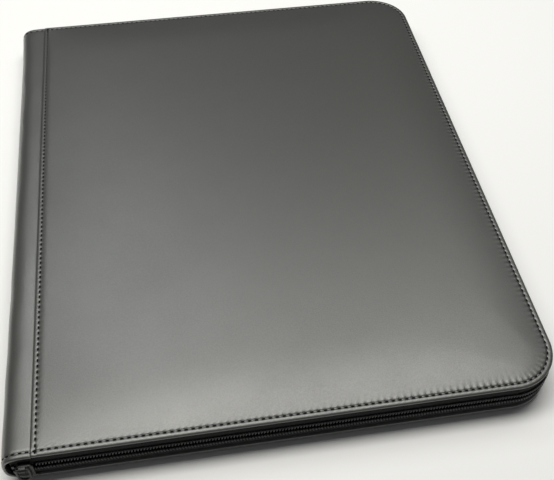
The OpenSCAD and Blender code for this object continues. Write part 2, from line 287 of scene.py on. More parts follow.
def round_corners(bm, corners, radius, steps):
    bmesh.ops.bevel(bm, geom=corners, offset=radius, segments=steps, profile=0.5,
                    affect="VERTICES", material=-1)


def outline_ring(bm):
    """The cover's outline as a ring of edges, finely divided for the stitches' puckers."""
    corners = rectangle(bm, Vector((LAP_X, -HALF_Y)), Vector((FORE_X, HALF_Y)), 0)
    fore = [v for v in corners if v.co.x > 0]
    lap = [v for v in corners if v.co.x < 0]
    round_corners(bm, fore, CORNER_R, CORNER_STEPS)
    round_corners(bm, lap, LAP_CORNER_R, LAP_CORNER_STEPS)
    for edge in [e for e in bm.edges if e.calc_length() > 2 * CORNER_R]:
        bmesh.ops.subdivide_edges(bm, edges=[edge], cuts=round(edge.calc_length() / COLUMN_GAP))
    bmesh.ops.delete(bm, geom=bm.faces[:], context="FACES_ONLY")
    return bm.edges[:]


def corner_radii(inset):
    """Radius of the fore and lap corners at an inset. Far in, the pad's corners grow rounder."""
    fore, lap = CORNER_R - inset, max(LAP_CORNER_R - LAP_SHRINK * inset, LAP_LEAST_R)
    if inset >= PAD_FROM:
        fore = CORNER_R - PAD_FROM + PAD_GROWTH * (inset - PAD_FROM)
    if inset >= LAP_PAD_FROM:
        lap = LAP_LEAST_R + LAP_PAD_GROWTH * (inset - LAP_PAD_FROM)
    room = ROOM_SHARE * (min((FORE_X - LAP_X) / 2, HALF_Y) - inset)
    return min(fore, room), min(lap, room)


# %% Marks on the outline
def mark_of(point):
    """Where a point of the outline sits: (part of the outline, side, share or angle)."""
    side = math.copysign(1, point.y)
    for part, radius, turn in (("fore_corner", CORNER_R, 1), ("lap_corner", LAP_CORNER_R, -1)):
        centre_x = FORE_X - radius if turn > 0 else LAP_X + radius
        past_x, past_y = (point.x - centre_x) * turn, abs(point.y) - HALF_Y + radius
        if past_x > TOUCH and past_y > TOUCH:
            return part, side, math.atan2(past_y, past_x)
    if abs(point.y) > HALF_Y - TOUCH:
        low, high = LAP_X + LAP_CORNER_R, FORE_X - CORNER_R
        return "long", side, (point.x - low) / (high - low)
    if point.x > FORE_X - TOUCH:
        return "fore", side, point.y / (HALF_Y - CORNER_R)
    return "lap", side, point.y / (HALF_Y - LAP_CORNER_R)


def inset_point(mark, inset):
    """The place on the cover of a mark of the outline, moved inwards by an inset."""
    part, side, share = mark
    fore_r, lap_r = corner_radii(inset)
    low, high, half = LAP_X + inset, FORE_X - inset, HALF_Y - inset
    if part == "long":
        return Vector((low + lap_r + share * (high - fore_r - low - lap_r), side * half, 0))
    if part == "fore":
        return Vector((high, share * (half - fore_r), 0))
    if part == "lap":
        return Vector((low, share * (half - lap_r), 0))
    if part == "fore_corner":
        x, y = high - fore_r * (1 - math.cos(share)), half - fore_r * (1 - math.sin(share))
    else:
        x, y = low + lap_r * (1 - math.cos(share)), half - lap_r * (1 - math.sin(share))
    return Vector((x, side * y, 0))


# %% [markdown]
# The stitches pull the leather down, so the height of the leather depends on where the stitches
# are. One row runs round the hem on three sides, and another along the lapped seam. They cross in
# the two corners at the seam, and each goes on to the edge. The pitch is trimmed so that a whole
# number fits.

# %% Rows of stitches
STITCH_INSET, LAP_INSET = 2.9 * MM, 2.5 * MM
STITCH_PITCH = 3.4 * MM
ROW_END = 0.5 * MM


def measured(row):
    """Adds to each (mark, point) of a row its place along the row, counted in stitches."""
    lengths = [0.0]
    for (_, a), (_, b) in zip(row, row[1:]):
        lengths.append(lengths[-1] + (b - a).length)
    pitch = lengths[-1] / round(lengths[-1] / STITCH_PITCH)
    return [(mark, point, length / pitch) for (mark, point), length in zip(row, lengths)]


def stitch_rows(marks):
    """The row round the hem and the row along the lap, each a list of (mark, point, place)."""
    parts = [mark[0] for mark in marks]
    start = next(i for i, part in enumerate(parts)
                 if part == "long" and parts[i - 1] == "lap_corner")
    order = marks[start:] + marks[:start]
    hem = [(m, inset_point(m, STITCH_INSET)) for m in order if not m[0].startswith("lap")]
    first, last = (Vector((LAP_X + ROW_END, hem[i][1].y, 0)) for i in (0, -1))
    hem = [(None, first)] + hem + [(None, last)]
    lap_x, lap_y = LAP_X + LAP_INSET, HALF_Y - ROW_END
    lap = [(None, Vector((lap_x, y, 0))) for y in (-lap_y, lap_y)]
    return measured(hem), measured(lap)


def along_run(run, point):
    """The place of a point along a straight run of stitches, past its ends too."""
    (a, first), (b, last) = run[0], run[-1]
    return first + (point - a).dot(b - a) / (b - a).length_squared * (last - first)


# %% [markdown]
# The section of the cover is a list of insets and heights above the lining. The rim rounds down to
# a thin edge, the stitch line is a valley, and the pad rises in a curve that is steep at the
# stitches and level in the middle. Along the lapped seam it rises a short step and then slowly, and
# the rises are multiplied, so that they meet without a crease.

# %% Section of a cover
HEM_T, HEM_W = 3.3 * MM, 6 * MM
HEM_ROUND_W, HEM_ROUND_T = 2.0 * MM, 0.85 * MM
HEM_ROUND_DEGREES = (0, 22, 42, 58, 70, 80, 90)
HEM_EDGE_T, EDGE_R = 1.8 * MM, 0.5 * MM
EDGE_TIP_W, EDGE_TIP_T = 0.15 * MM, 0.16 * MM
HEM_FLOOR = 0.6 * MM
CROWN = COVER_T - HEM_T
SWELL_START, SWELL_W, SWELL_POWER = 3.4 * MM, 34 * MM, 2.2
LAP_LOW, LAP_STEP_W, LAP_SWELL_W = 0.15, 3 * MM, 60 * MM
VALLEY_INSETS = [2.25, 2.5, 2.7, 2.9, 3.1, 3.35]
PAD_INSETS = [3.65, 4.0, 4.6, 5.4, 6.6, 8.2, 10.5, 13.5, 17, 21, 26, 32, 39, 48, 62, 82, 106,
              128, 131]


def rounded_edge():
    """Insets and depths below the hem's top, from its edge to where it is level."""
    angles = [math.radians(d) for d in HEM_ROUND_DEGREES]
    return [(HEM_ROUND_W * (1 - math.cos(a)), -HEM_ROUND_T * (1 - math.sin(a))) for a in angles]


def rim_section():
    """Insets and heights from under the hem, round the edge, to just outside the stitches."""
    under = HEM_T - HEM_EDGE_T
    lower = [(HEM_W, HEM_FLOOR), (STITCH_INSET, HEM_FLOOR), (EDGE_R, under),
             (EDGE_TIP_W, under + EDGE_TIP_T)]
    return lower + [(inset, HEM_T + drop) for inset, drop in rounded_edge()]


def clamped(value):
    return min(max(value, 0), 1)


def rise(distance, width):
    return 1 - (1 - clamped((distance - SWELL_START) / width)) ** SWELL_POWER


def lap_rise(distance):
    return LAP_LOW * rise(distance, LAP_STEP_W) + (1 - LAP_LOW) * rise(distance, LAP_SWELL_W)


section = rim_section() + [(inset * MM, None) for inset in VALLEY_INSETS + PAD_INSETS]
print("rings from the hem's underside to the middle:", len(section))

# %% [markdown]
# A cosine along each row deepens the valley under a stitch and lifts the leather between two
# stitches. This ripple dies out a few millimetres into the pad, and sooner on the narrow rim.

# %% Dents of the stitches
VALLEY, VALLEY_EVEN = 0.48 * MM, 0.6
HOLLOW_IN, HOLLOW_OUT = 0.55 * MM, 0.42 * MM
RIPPLE, RIPPLE_FROM = 0.24 * MM, 0.3 * MM
RIPPLE_IN_W, RIPPLE_OUT_W, RIPPLE_OUT = 1.4 * MM, 0.7 * MM, 0.4
HEM_STRENGTH, LAP_STRENGTH = 1.0, 0.3


def stitch_dent(distance, place, strength):
    """Depth of the leather under and beside a row, at a distance inside it."""
    wave = -math.cos(2 * math.pi * place)
    inside = distance > 0
    hollow = math.exp(-((distance / (HOLLOW_IN if inside else HOLLOW_OUT)) ** 2))
    past = max(abs(distance) - RIPPLE_FROM, 0)
    fade = math.exp(-past / RIPPLE_IN_W) if inside else RIPPLE_OUT * math.exp(-past / RIPPLE_OUT_W)
    valley = VALLEY * (VALLEY_EVEN + (1 - VALLEY_EVEN) * wave) * hollow
    return valley + RIPPLE * strength * wave * fade * (1 - hollow)


# %% Front cover's leather
FREE_EDGE_T = 0.35 * MM

bm = bmesh.new()
ring = outline_ring(bm)
column = columns_of(bm)
marks = []
for i, vert in enumerate(in_order(ring)):
    vert[column] = i
    marks.append(mark_of(vert.co))
rows = stitch_rows(marks)
runs, turns = {"lap": [(point, place) for _, point, place in rows[1]]}, {}
for mark, point, place in rows[0]:
    if mark:
        turns[mark] = place
        runs.setdefault(mark[:2] if mark[0] == "long" else mark[0], []).append((point, place))


def skin_point(i, step):
    """A point of the leather. The stitches don't move the low part of the edge."""
    inset, height = step
    mark = marks[i]
    point = inset_point(mark, inset)
    if height is not None and height < HEM_T - FREE_EDGE_T:
        point.z = LINING_Z + height
        return point
    by_lap = mark[0].startswith("lap")
    from_hem = min(HALF_Y - abs(point.y), FORE_X - point.x) if by_lap else inset
    from_lap = point.x - LAP_X
    if mark[0] == "fore_corner":
        place = turns[mark]
    else:
        place = along_run(runs["fore" if mark[0] == "fore" else ("long", mark[1])], point)
    if height is None:
        height = HEM_T + CROWN * rise(from_hem, SWELL_W) * lap_rise(from_lap)
    height -= stitch_dent(from_hem - STITCH_INSET, place, HEM_STRENGTH)
    height -= stitch_dent(from_lap - LAP_INSET, along_run(runs["lap"], point), LAP_STRENGTH)
    point.z = LINING_Z + height
    return point


loft(bm, ring, section, skin_point)
front_skin = make_piece(bm, "front_padded_leather", cover_leather)
back_skin = mirrored(front_skin, "back_padded_leather")
for skin, cover in ((front_skin, "front"), (back_skin, "back")):
    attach(skin, cover + "_cover")
    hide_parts(cover + "_skin", cover + "_pad")
print("stitches round the hem and along the lap:", [round(row[-1][2]) for row in rows])

# %% [markdown]
# ## The spine's leather
# One strip of leather runs from the back cover, round the spine, to the front cover, and has to
# bend when the binder opens. It is made as two pieces that meet in the middle of the spine, because
# a piece can bend between two bodies only. Each is the section of the strip, with a thick turned
# hem at both ends, swept along a path from the lapped seam down the rounded side. The soft turn is
# a superellipse, a curve between an ellipse and a box.

# %% Section of the spine's leather
FLAT_W, FLAT_STEPS, UNDER_LAP = 1.4 * MM, 4, 0.35 * MM
TURN_POWER, TURN_STEPS = 2.9, 36
SKIN_T, SPINE_HEM_T, HEM_STEP = 0.5 * MM, 1.9 * MM, 0.4 * MM
SPINE_VALLEY, SPINE_VALLEY_SIDE = 0.34 * MM, 0.12 * MM
SPINE_GAP, SPINE_LEVEL = 6 * MM, 9 * MM


def spine_section():
    """Places along the spine, and heights above the leather's outer face."""
    valley = [(2.5 * MM, -SPINE_VALLEY_SIDE), (STITCH_INSET, -SPINE_VALLEY),
              (3.3 * MM, -SPINE_VALLEY_SIDE)]
    swell = [(3.9 * MM, 0.05 * MM), (5.2 * MM, 0.08 * MM), (SPINE_LEVEL, 0.0)]
    outer = rounded_edge() + valley + swell
    inner = [(EDGE_TIP_W, EDGE_TIP_T - HEM_EDGE_T), (EDGE_R, -HEM_EDGE_T), (HEM_W, -SPINE_HEM_T),
             (HEM_W + HEM_STEP, -SKIN_T)]
    level = 2 * (HALF_Y - SPINE_LEVEL)
    count = round(level / SPINE_GAP)
    flat = [(-HALF_Y + SPINE_LEVEL + i * level / count, 0.0) for i in range(1, count)]
    near = [(d - HALF_Y, h) for d, h in outer]
    far = [(HALF_Y - d, h) for d, h in reversed(outer)]
    back = [(HALF_Y - d, h) for d, h in inner] + [(d - HALF_Y, h) for d, h in reversed(inner)]
    return near + flat + far + back


def spine_path():
    """Points of the outer face from the lap to the spine's middle, with outward directions."""
    under_lap, flat_x = LAP_X + UNDER_LAP, LAP_X - FLAT_W
    path = [(under_lap + (flat_x - under_lap) * i / FLAT_STEPS, FLAP_Z, math.pi / 2)
            for i in range(FLAT_STEPS)]
    wide, high = flat_x - SPINE_X, FLAP_Z - MIDDLE_Z
    for i in range(TURN_STEPS + 1):
        a = math.pi / 2 * (1 - i / TURN_STEPS)
        across = max(math.cos(a), 0) ** (2 / TURN_POWER)
        up = max(math.sin(a), 0) ** (2 / TURN_POWER)
        turn = math.atan2(up ** (TURN_POWER - 1) / high, -across ** (TURN_POWER - 1) / wide)
        path.append((flat_x - wide * across, MIDDLE_Z + high * up, turn))
    return path


section_points = spine_section()
path = spine_path()
spine_lengths = [0.0]
for (xa, za, _), (xb, zb, _) in zip(path, path[1:]):
    spine_lengths.append(spine_lengths[-1] + math.hypot(xb - xa, zb - za))
print("leather from the lap to the spine's middle:", round(spine_lengths[-1] / MM, 1), "mm")

# %% [markdown]
# The strip isn't tight. The stitches ripple its hems, the lap presses a groove beside the seam, and
# smooth noise lifts low crumples that grow towards the middle of the spine. Along most of its
# length the side sinks in a little, and towards the far end it flares out.

# %% Front half of the spine's leather
OUTER_T = 0.36 * MM
SPINE_RIPPLE, SPINE_RIPPLE_W = 0.07 * MM, 0.9 * MM
LAP_GROOVE, LAP_GROOVE_W = 0.3 * MM, 0.5 * MM
CRUMPLE_LAP, CRUMPLE_GROWTH, CRUMPLE_EVEN = 0.12 * MM, 0.45 * MM, 0.35
CRUMPLE_FADE_W, CRUMPLE_SIZE_Y, CRUMPLE_SIZE = 6 * MM, 19 * MM, 11 * MM
SINK, SINK_W, FLARE, FLARE_FROM = 0.7 * MM, 12 * MM, 1.9 * MM, 0.35


def spine_point(i, station):
    y, height = section_points[i]
    x, z, turn = path[station]
    length = spine_lengths[station]
    if height > -OUTER_T:
        from_row = HALF_Y - abs(y) - STITCH_INSET
        ripple = SPINE_RIPPLE * math.cos(2 * math.pi * length / STITCH_PITCH)
        height += ripple * math.exp(-abs(from_row) / SPINE_RIPPLE_W)
        height -= LAP_GROOVE * math.exp(-length / LAP_GROOVE_W)
        crumple = CRUMPLE_LAP + CRUMPLE_GROWTH * length / spine_lengths[-1]
        patch = noise.noise((0, y / CRUMPLE_SIZE_Y, length / CRUMPLE_SIZE))
        uneven = CRUMPLE_EVEN + (1 - CRUMPLE_EVEN) * patch
        height += crumple * clamped(from_row / CRUMPLE_FADE_W) * uneven
    flare = clamped((y / HALF_Y - FLARE_FROM) / (1 - FLARE_FROM))
    share = clamped((LAP_X - x) / SINK_W)
    x += (SINK - FLARE * flare * flare) * share * share * (3 - 2 * share)
    return Vector((x + height * math.cos(turn), y, z + height * math.sin(turn)))


bm = bmesh.new()
loft(bm, section_ring(bm, section_points), list(range(len(path))), spine_point)
front_spine = make_piece(bm, "front_spine_leather", cover_leather)
back_spine = mirrored(front_spine, "back_spine_leather")
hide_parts("front_hinge_flap", "spine_wrap")
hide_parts("back_hinge_flap")

# %% [markdown]
# When the binder opens, the leather follows the cover where it lies flat and the spine where it
# stands upright, and bends over the turn between the two. Here the two halves are not bent: their
# transforms are only baked into their meshes.


def bend_halves(front, back):
    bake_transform(front)
    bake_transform(back)


bend_halves(front_spine, back_spine)

# %% [markdown]
# ## Stitches
# The thread shows as short black strokes that lie in the valley. Each one is a small capsule made
# by stretching a low sphere, since a row has hundreds of them. Those on the covers ride with the
# covers, and those on the spine's hems only have their transforms baked, as the spine's leather
# does.

# %% Thread
finish = Finish("black_thread")
twist = finish.waves(finish.place, 1 / (0.8 * MM), Distortion=1.0)
finish.emboss(twist, 0.5, 0.05 * MM)
finish.fill(finish.shader, {"Base Color": (0.004, 0.004, 0.0045, 1),
                            "Roughness": finish.spread(twist, 0.55, 0.75),
                            "Specular IOR Level": 0.12})
thread = finish.material
THREAD_R, STITCH_L = 0.45 * MM, 1.9 * MM
THREAD_LIFT, SPINE_THREAD_LIFT = 0.45 * THREAD_R, 0.4 * THREAD_R


def stitch(bm, at, direction, up):
    across = direction.cross(up).normalized()
    axes = Matrix((across * THREAD_R, up * THREAD_R, direction * STITCH_L / 2))
    place = Matrix.Translation(at) @ axes.transposed().to_4x4()
    bmesh.ops.create_uvsphere(bm, u_segments=6, v_segments=5, radius=1, matrix=place)


# %% Rows on the covers
bm = bmesh.new()
row_height = LINING_Z + HEM_T - VALLEY + THREAD_LIFT
for row in rows:
    for k in range(round(row[-1][2])):
        middle = k + 0.5
        after = next(i for i in range(len(row)) if row[i][2] >= middle)
        (_, a, first), (_, b, last) = row[after - 1], row[after]
        point = a.lerp(b, (middle - first) / (last - first))
        point.z = row_height
        stitch(bm, point, (b - a).normalized(), Vector((0, 0, 1)))
front_thread = make_piece(bm, "front_stitches", thread)
back_thread = mirrored(front_thread, "back_stitches")
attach(front_thread, "front_cover")
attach(back_thread, "back_cover")

# %% Rows on the spine's hems
bm = bmesh.new()
ends = [i for i, (y, h) in enumerate(section_points)
        if abs(HALF_Y - abs(y) - STITCH_INSET) < TOUCH and h > -SKIN_T]
for k in range(round(spine_lengths[-1] / STITCH_PITCH)):
    length = (k + 0.5) * STITCH_PITCH
    after = next(i for i in range(len(path)) if spine_lengths[i] >= length)
    for end in ends:
        a, b = spine_point(end, after - 1), spine_point(end, after)
        up = Vector((math.cos(path[after][2]), 0, math.sin(path[after][2])))
        stitch(bm, b + up * SPINE_THREAD_LIFT, (b - a).normalized(), up)
front_spine_thread = make_piece(bm, "front_spine_stitches", thread)
back_spine_thread = mirrored(front_spine_thread, "back_spine_stitches")
bend_halves(front_spine_thread, back_spine_thread)

# %% [markdown]
# ## The zip
# A black woven tape is sewn under each cover's hem on three sides and carries a row of teeth on its
# free edge. Tape and teeth follow the same path round the cover, so one function gives a point of
# that path at any length, with the direction along it and the direction out of the binder.

# %% Path of the zip
TOOTH_PITCH, TOOTH_W, TOOTH_T = 1.5 * MM, 0.95 * MM, 1.2 * MM
SLIDER_ROOM = 0.6 * MM
ZIP_STEP = 3 * MM
chain_low, chain_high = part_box("front_zip_chain")
ZIP_INSET = HALF_Y - chain_high.y + TOOTH_T / 2
TAPE_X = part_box("front_zip_tape")[0].x
CHAIN_X = chain_low.x
UPPER_CHAIN_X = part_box("zip_slider")[1].x + SLIDER_ROOM
TURN_X, TURN_Y = FORE_X - CORNER_R, HALF_Y - CORNER_R
TURN_R = CORNER_R - ZIP_INSET
QUARTER = TURN_R * math.pi / 2
ALONG_X, ALONG_Y = Vector((1, 0, 0)), Vector((0, 1, 0))


def zip_corner(side, angle):
    out = Vector((math.cos(angle), math.sin(angle), 0))
    return Vector((TURN_X, side * TURN_Y, 0)) + out * TURN_R, Vector((-out.y, out.x, 0)), out


def zip_path(start_x, end_x):
    """A function of length from the near start to the far end, and the path's whole length."""
    near, fore, far = TURN_X - start_x, 2 * TURN_Y, TURN_X - end_x

    def at(length):
        if length < near:
            return Vector((start_x + length, -HALF_Y + ZIP_INSET, 0)), ALONG_X, -ALONG_Y
        length -= near
        if length < QUARTER:
            return zip_corner(-1, length / TURN_R - math.pi / 2)
        length -= QUARTER
        if length < fore:
            return Vector((FORE_X - ZIP_INSET, -TURN_Y + length, 0)), ALONG_Y, ALONG_X
        length -= fore
        if length < QUARTER:
            return zip_corner(1, length / TURN_R)
        length -= QUARTER
        return Vector((TURN_X - length, HALF_Y - ZIP_INSET, 0)), -ALONG_X, ALONG_Y

    return at, near + fore + far + 2 * QUARTER


def even_steps(total, gap):
    count = round(total / gap)
    return [total * i / count for i in range(count + 1)]


# %% [markdown]
# The tape is a fine herringbone weave: slanted ribs that turn at the middle of the tape. At this
# size two crossed waves on Object coordinates read as the weave, and a soft sheen stands for its
# fuzz. The linings are the same kind of cloth, a little finer and less black.

# %% Woven cloths
CLOTH_ROUGHNESS, CLOTH_SPREAD = 0.85, 0.08
CLOTH_DARK, CLOTH_LIGHT = 0.6, 1.5
CLOTH_PATCH = 20 * MM
WEFT_TURN = (0.4, 0.3, math.pi / 2)


def woven(name, colour, thread_gap):
    finish = Finish(name)
    turned = finish.add("Mapping", {"Vector": finish.place, "Rotation": WEFT_TURN})
    warp, weft = (finish.waves(place, 0.5 / thread_gap, Distortion=0.4, Detail=1.0)
                  for place in (finish.place, turned.outputs["Vector"]))
    weave = finish.combine(warp, weft, "MULTIPLY")
    finish.emboss(weave, 0.6, 0.12 * MM)
    tone = finish.combine(weave, finish.cloud(CLOTH_PATCH, 2.0), "MULTIPLY")
    finish.colour(tone, shade_of(colour, CLOTH_DARK), shade_of(colour, CLOTH_LIGHT))
    gloss = finish.spread(weave, CLOTH_ROUGHNESS + CLOTH_SPREAD, CLOTH_ROUGHNESS - CLOTH_SPREAD)
    finish.fill(finish.shader, {"Roughness": gloss, "Sheen Weight": 0.05, "Sheen Roughness": 0.5,
                                "Specular IOR Level": 0.3})
    return finish.material


tape_cloth = woven("zip_tape_cloth", (0.008, 0.008, 0.0085), 0.5 * MM)
lining_cloth = woven("lining_cloth", (0.018, 0.018, 0.019), 0.4 * MM)
print("materials", tape_cloth.name, lining_cloth.name)

# %% Zip tapes
tape_section = [(inset * MM, height * MM) for inset, height in (
    (0.95, -5.3), (0.92, -3.8), (0.85, -2.0), (0.9, -0.6), (1.05, 0.1), (1.35, 0.45), (1.9, 0.6),
    (4.5, 0.6), (7.2, 0.55), (7.2, 0.1), (4.5, 0.0), (2.4, 0.0), (1.8, -0.12), (1.55, -0.5),
    (1.48, -2.0), (1.52, -3.8), (1.55, -5.3))]
tape_at, tape_length = zip_path(TAPE_X, TAPE_X)


def tape_point(i, length):
    inset, height = tape_section[i]
    point, _, out = tape_at(length)
    return point + out * (ZIP_INSET - inset) + Vector((0, 0, LINING_Z + height))


bm = bmesh.new()
loft(bm, section_ring(bm, tape_section), even_steps(tape_length, ZIP_STEP), tape_point)
front_tape = make_piece(bm, "front_woven_tape", tape_cloth)
back_tape = mirrored(front_tape, "back_woven_tape")
for tape, cover in ((front_tape, "front"), (back_tape, "back")):
    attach(tape, cover + "_cover")
    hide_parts(cover + "_zip_tape")

# %% [markdown]
# The teeth are loops of one nylon coil sewn to the tape's edge. From outside each loop shows as a
# short slanted stroke, so a tooth is a six-sided rod with narrowed ends, copied along the path, and
# a cord runs behind the loops where the sewing holds them.

# %% Nylon of the coil
finish = Finish("black_nylon")
rub = finish.cloud(1.5 * MM, 3.0)
finish.colour(rub, (0.012, 0.012, 0.013, 1), (0.035, 0.035, 0.036, 1))
finish.fill(finish.shader, {"Roughness": finish.spread(rub, 0.25, 0.5)})
finish.emboss(rub, 0.2, 0.03 * MM)
nylon = finish.material

# %% One tooth
TOOTH_L = chain_high.z - chain_low.z
TOOTH_LEAN = math.radians(14)
TIP_INSET, SHOULDER_SHARE = 0.16, 0.82
TIP_H = chain_low.z - LINING_Z

tooth = bmesh.new()
bmesh.ops.create_cone(tooth, cap_ends=True, segments=6, radius1=0.5, radius2=0.5, depth=1)
ends = [f for f in tooth.faces if abs(f.normal.z) > 0.9]
bmesh.ops.inset_region(tooth, faces=ends, thickness=TIP_INSET, depth=0)
tips = {v for f in ends for v in f.verts}
for vert in tooth.verts:
    if vert not in tips:
        vert.co.z *= SHOULDER_SHARE
tooth_mesh = bpy.data.meshes.new("tooth")
tooth.to_mesh(tooth_mesh)
tooth.free()
print("tooth", len(tooth_mesh.polygons), "faces")

# %% Rows of teeth
CORD_H, CORD_R, CORD_BACK, CORD_SIDES = TIP_H + 0.75 * TOOTH_L, 0.3 * MM, 0.1 * MM, 6
cord = [(CORD_R * math.cos(a), CORD_R * math.sin(a))
        for a in (2 * math.pi * i / CORD_SIDES for i in range(CORD_SIDES))]


def zip_row(name, near_x):
    at, total = zip_path(near_x, CHAIN_X)
    bm = bmesh.new()
    for k in range(int(total / TOOTH_PITCH)):
        point, along, out = at((k + 0.5) * TOOTH_PITCH)
        point = point + Vector((0, 0, LINING_Z + TIP_H + TOOTH_L / 2))
        up = (Vector((0, 0, 1)) + along * math.tan(TOOTH_LEAN)).normalized()
        shape = Matrix((along * TOOTH_W, out * TOOTH_T, up * TOOTH_L)).transposed().to_4x4()
        copy = tooth_mesh.copy()
        copy.transform(Matrix.Translation(point) @ shape)
        bm.from_mesh(copy)
        bpy.data.meshes.remove(copy)

    def cord_point(i, length):
        point, _, out = at(length)
        across, up = cord[i]
        return point + out * (across - CORD_BACK) + Vector((0, 0, LINING_Z + CORD_H + up))

    loft(bm, section_ring(bm, cord), even_steps(total, ZIP_STEP), cord_point)
    return make_piece(bm, name, nylon)


front_row = zip_row("front_zip_coil", UPPER_CHAIN_X)
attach(front_row, "front_cover")
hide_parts("front_zip_chain")
lower_row = zip_row("lower_zip_coil", CHAIN_X)
back_row = mirrored(lower_row, "back_zip_coil")
bpy.data.objects.remove(lower_row)
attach(back_row, "back_cover")
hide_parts("back_zip_chain")

# %% [markdown]
# ## Slider, pull and end stops
# These are small metal castings and a bent wire, painted black. Their CAD shapes are right but have
# knife-sharp edges. A copy of each node is merged into one skin and its flat triangles are
# dissolved. The edges of the castings are bevelled, so that they catch a thin line of light as
# painted metal does. The wire is round already.

# %% Painted metal
finish = Finish("black_painted_metal")
orange_peel = finish.cloud(0.6 * MM, 2.0)
chips = finish.cloud(2.2 * MM, 5.0, Roughness=0.7)
bare = finish.spread(chips, 0, 1, 0.66, 0.72)
finish.colour(bare, (0.01, 0.01, 0.0105, 1), (0.05, 0.049, 0.047, 1))
finish.fill(finish.shader, {"Roughness": finish.spread(orange_peel, 0.32, 0.5),
                            "Specular IOR Level": 0.45})
finish.emboss(orange_peel, 0.12, 0.03 * MM)
painted_metal = finish.material

# %% Softened copies of the CAD pieces
SAME_POINT = 0.002 * MM
SLIDER_EDGE, STOP_EDGE = 0.12 * MM, 0.1 * MM
FLAT_ANGLE, EDGE_ANGLE, METAL_CREASE = math.radians(1), math.radians(35), math.radians(40)


def softened(node, name, edge):
    bm = bmesh.new()
    bm.from_mesh(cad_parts[node].data)
    bmesh.ops.remove_doubles(bm, verts=bm.verts[:], dist=SAME_POINT)
    bmesh.ops.dissolve_limit(bm, angle_limit=FLAT_ANGLE, verts=bm.verts[:], edges=bm.edges[:])
    if edge:
        sharp = [e for e in bm.edges if e.is_manifold and e.calc_face_angle() > EDGE_ANGLE]
        bmesh.ops.bevel(bm, geom=sharp, offset=edge, segments=2, profile=0.5, affect="EDGES",
                        material=-1, clamp_overlap=True)
    piece = make_piece(bm, name, painted_metal)
    piece.data.set_sharp_from_angle(angle=METAL_CREASE)
    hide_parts(node)
    return piece


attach(softened("zip_slider", "cast_slider", SLIDER_EDGE), "slider")
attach(softened("zip_pull", "wire_pull", 0), "pull")
for cover in ("front", "back"):
    stops = softened(cover + "_zip_stops", cover + "_end_stops", STOP_EDGE)
    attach(stops, cover + "_cover")

# %% [markdown]
# ## Linings
# The inside of each cover and of the spine is lined with thin black cloth on the boards. Each
# lining is one face, given its thickness by an extrusion, with the rim bevelled because cloth
# folded over has no sharp edge. Those of the covers have rounded fore corners.

# %% Linings of the covers and the spine
LINING_CORNER_R = CORNER_R - 7.2 * MM
LINING_CORNER_STEPS = 16
COVER_RIM, SPINE_RIM = 0.25 * MM, 0.2 * MM
CLOTH_CREASE = math.radians(50)


def cloth_panel(name, node, corner_r, body, edge):
    low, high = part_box(node)
    bm = bmesh.new()
    corners = rectangle(bm, low, high, low.z)
    if corner_r:
        fore = [v for v in corners if v.co.x > (low.x + high.x) / 2]
        round_corners(bm, fore, corner_r, LINING_CORNER_STEPS)
    grown = bmesh.ops.extrude_face_region(bm, geom=bm.faces[:])["geom"]
    upper = [v for v in grown if isinstance(v, bmesh.types.BMVert)]
    bmesh.ops.translate(bm, vec=(0, 0, high.z - low.z), verts=upper)
    rim = [e for e in bm.edges if abs(e.verts[0].co.z - e.verts[1].co.z) < TOUCH]
    bmesh.ops.bevel(bm, geom=rim, offset=edge, segments=3, profile=0.5, affect="EDGES",
                    material=-1)
    piece = make_piece(bm, name, lining_cloth)
    piece.data.set_sharp_from_angle(angle=CLOTH_CREASE)
    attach(piece, body)
    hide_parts(node)


for cover in ("front", "back"):
    cloth_panel(cover + "_cloth_lining", cover + "_lining", LINING_CORNER_R, cover + "_cover",
                COVER_RIM)
cloth_panel("spine_cloth_lining", "spine_lining", 0, "spine", SPINE_RIM)

# %% [markdown]
# ## Page binding
# The tails of the leaves are stacked in steps and sewn to the spine, which makes a ridge with two
# sloping sides. Its section is drawn as the stack's steps and swept along the spine.

# %% Stacked tails
TAILS, TAIL_SLOPE, TAIL_REACH = 10, 0.2, 0.45
low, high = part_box("page_binding")
ridge_step = (high.x - low.x) / TAILS
half_ridge = (high.z - low.z) / 2
lower_slope = []
for k in range(TAILS):
    z, half_tail = low.z + (k + 0.5) / TAILS * half_ridge, TAIL_SLOPE * half_ridge / TAILS
    reach = low.x + k * ridge_step
    lower_slope += [(reach, z - half_tail), (reach + TAIL_REACH * ridge_step, z + half_tail)]
upper_slope = [(x, 2 * MIDDLE_Z - z) for x, z in reversed(lower_slope)]
tail_section = [(low.x, low.z)] + lower_slope + upper_slope + [(low.x, high.z)]


def tail_point(i, y):
    x, z = tail_section[i]
    return Vector((x, y, z))


bm = bmesh.new()
tail_stations = [low.y, low.y / 2, 0, high.y / 2, high.y]
loft(bm, section_ring(bm, tail_section), tail_stations, tail_point)
tails = make_piece(bm, "stacked_leaf_tails", lining_cloth, smooth=False)
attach(tails, "spine")
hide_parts("page_binding")

# %% [markdown]
# ## Leaves
# A leaf is a black plastic sheet with three rows of three clear pockets on each face, welded along
# their edges and open on the side towards the spine. One sheet is a grid whose lines are the
# pockets' edges. Insetting the pocket faces raises the film a little, and mirroring makes the other
# face.

# %% Page plastics
finish = Finish("page_sheet")
dots = {"Vector": finish.place, "Scale": 1 / (0.35 * MM)}
pebble = finish.add("TexVoronoi", dots).outputs["Distance"]
finish.emboss(pebble, 0.3, 0.04 * MM)
finish.fill(finish.shader, {"Roughness": finish.spread(pebble, 0.42, 0.55)})
finish.colour(pebble, (0.016, 0.016, 0.017, 1), (0.024, 0.024, 0.026, 1))
page_sheet = finish.material

